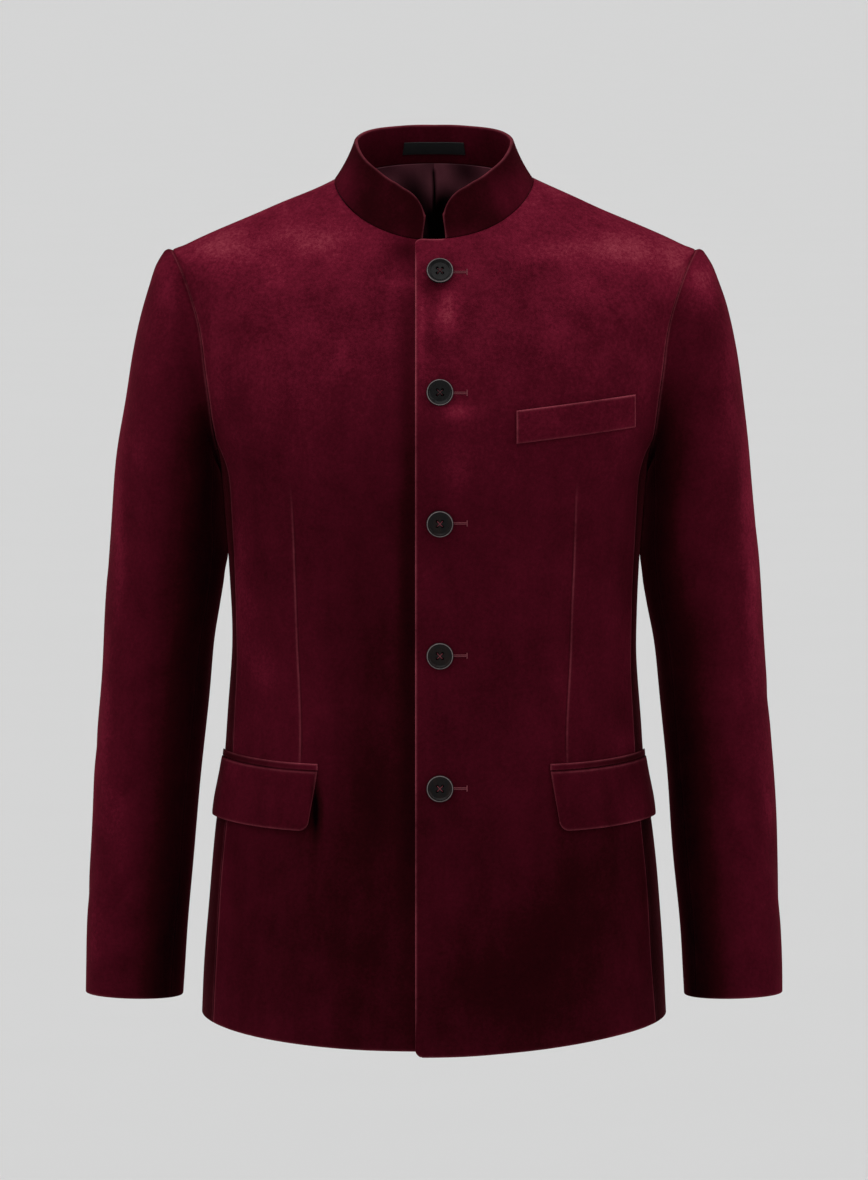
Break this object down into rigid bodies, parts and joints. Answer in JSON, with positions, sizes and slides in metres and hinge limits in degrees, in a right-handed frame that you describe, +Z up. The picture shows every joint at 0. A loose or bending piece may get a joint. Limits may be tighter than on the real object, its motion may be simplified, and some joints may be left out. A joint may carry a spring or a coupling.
{
  "type": "nehru jacket",
  "caption": "Velvet nehru jacket as worn, with a stand collar, a buttoned lapped front, a slanted breast welt, flap pockets and long two-piece sleeves.",
  "frame": {"origin": "middle of the neck, level with the two points where the collar meets the shoulder seams; the wearer's shoulders hold the jacket here", "axes": "+Z up; the front faces -Y; +X is the wearer's left"},
  "size_m": [0.6, 0.2625, 0.791],
  "materials": {
    "velvet": "burgundy velvet, deep pile with a soft sheen",
    "lining_satin": "wine satin lining",
    "label_satin": "plain black woven satin",
    "horn": "dark horn-like, softly polished"
  },
  "bodies": {
    "root": {"front_left": "velvet", "front_right": "velvet", "back_left": "velvet", "back_right": "velvet", "side_panel_left": "velvet", "side_panel_right": "velvet", "sleeve_top_left": "velvet", "sleeve_top_right": "velvet", "sleeve_under_left": "velvet", "sleeve_under_right": "velvet", "collar": "velvet", "breast_welt": "velvet", "pocket_flap_left": "velvet", "pocket_flap_right": "velvet", "pocket_jet_left": "velvet", "pocket_jet_right": "velvet", "neck_lining_left": "lining_satin", "neck_lining_right": "lining_satin", "label": "label_satin", "button_1": "horn", "button_2": "horn", "button_3": "horn", "button_4": "horn", "button_5": "horn"}
  },
  "joints": []
}
